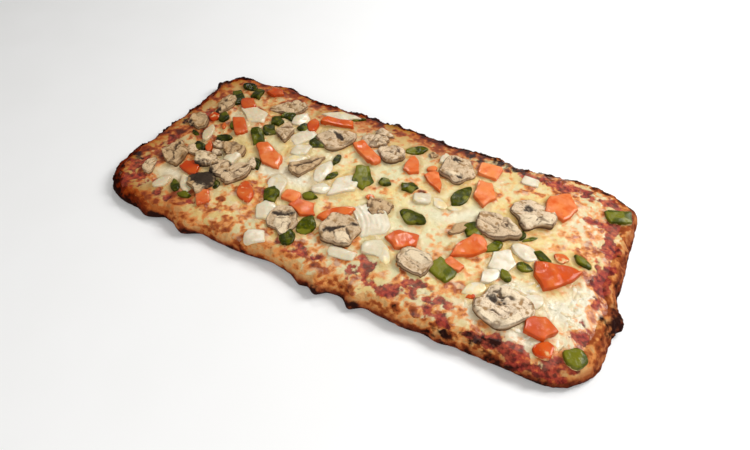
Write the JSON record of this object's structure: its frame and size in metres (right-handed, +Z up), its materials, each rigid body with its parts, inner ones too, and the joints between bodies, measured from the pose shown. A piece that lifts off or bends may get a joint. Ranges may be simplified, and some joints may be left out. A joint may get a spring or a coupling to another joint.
{
  "type": "vegetable flatbread",
  "caption": "Long rectangular thin-crust pizza with rounded corners, tomato sauce, melted cheese, sliced mushrooms and diced tomato, green pepper and onion; rests flat to be sliced and served.",
  "frame": {"origin": "on the flat underside, below the middle of the whole bread's box", "axes": "+X along the bread's length, +Y across it towards the far long side of the picture, +Z up out of the topped face"},
  "size_m": [0.3466, 0.1704, 0.0162],
  "materials": {
    "crust": "baked dough, golden to charred brown, matt with a thin oily sheen",
    "cheese": "melted cheese, pale cream with orange-brown baked spots, moist",
    "onion": "cooked onion, off-white and slightly translucent, moist",
    "green_pepper": "baked green pepper skin, olive to deep green, glossy",
    "tomato": "baked diced tomato, orange-red, wet",
    "mushroom": "baked sliced mushroom, beige with brown edges and dark gills, dry"
  },
  "bodies": {
    "root": {"crust": "crust", "cheese": "cheese", "onion_01": "onion", "onion_02": "onion", "onion_03": "onion", "onion_04": "onion", "onion_05": "onion", "onion_06": "onion", "onion_07": "onion", "onion_08": "onion", "onion_09": "onion", "pepper_01": "green_pepper", "pepper_02": "green_pepper", "pepper_03": "green_pepper", "pepper_04": "green_pepper", "pepper_05": "green_pepper", "pepper_06": "green_pepper", "pepper_07": "green_pepper", "pepper_08": "green_pepper", "pepper_09": "green_pepper", "pepper_10": "green_pepper", "pepper_11": "green_pepper", "tomato_01": "tomato", "tomato_02": "tomato", "tomato_03": "tomato", "tomato_04": "tomato", "tomato_05": "tomato", "tomato_06": "tomato", "tomato_07": "tomato", "tomato_08": "tomato", "tomato_09": "tomato", "tomato_10": "tomato", "tomato_11": "tomato", "tomato_12": "tomato", "tomato_13": "tomato", "tomato_14": "tomato", "tomato_15": "tomato", "tomato_16": "tomato", "mushroom_01": "mushroom", "mushroom_02": "mushroom", "mushroom_03": "mushroom", "mushroom_04": "mushroom", "mushroom_05": "mushroom", "mushroom_06": "mushroom", "mushroom_07": "mushroom", "mushroom_08": "mushroom", "mushroom_09": "mushroom", "mushroom_10": "mushroom", "mushroom_11": "mushroom", "mushroom_12": "mushroom", "mushroom_13": "mushroom", "mushroom_14": "mushroom", "mushroom_15": "mushroom", "mushroom_16": "mushroom", "mushroom_17": "mushroom", "mushroom_18": "mushroom", "mushroom_19": "mushroom", "mushroom_20": "mushroom", "mushroom_21": "mushroom", "mushroom_22": "mushroom"}
  },
  "joints": []
}
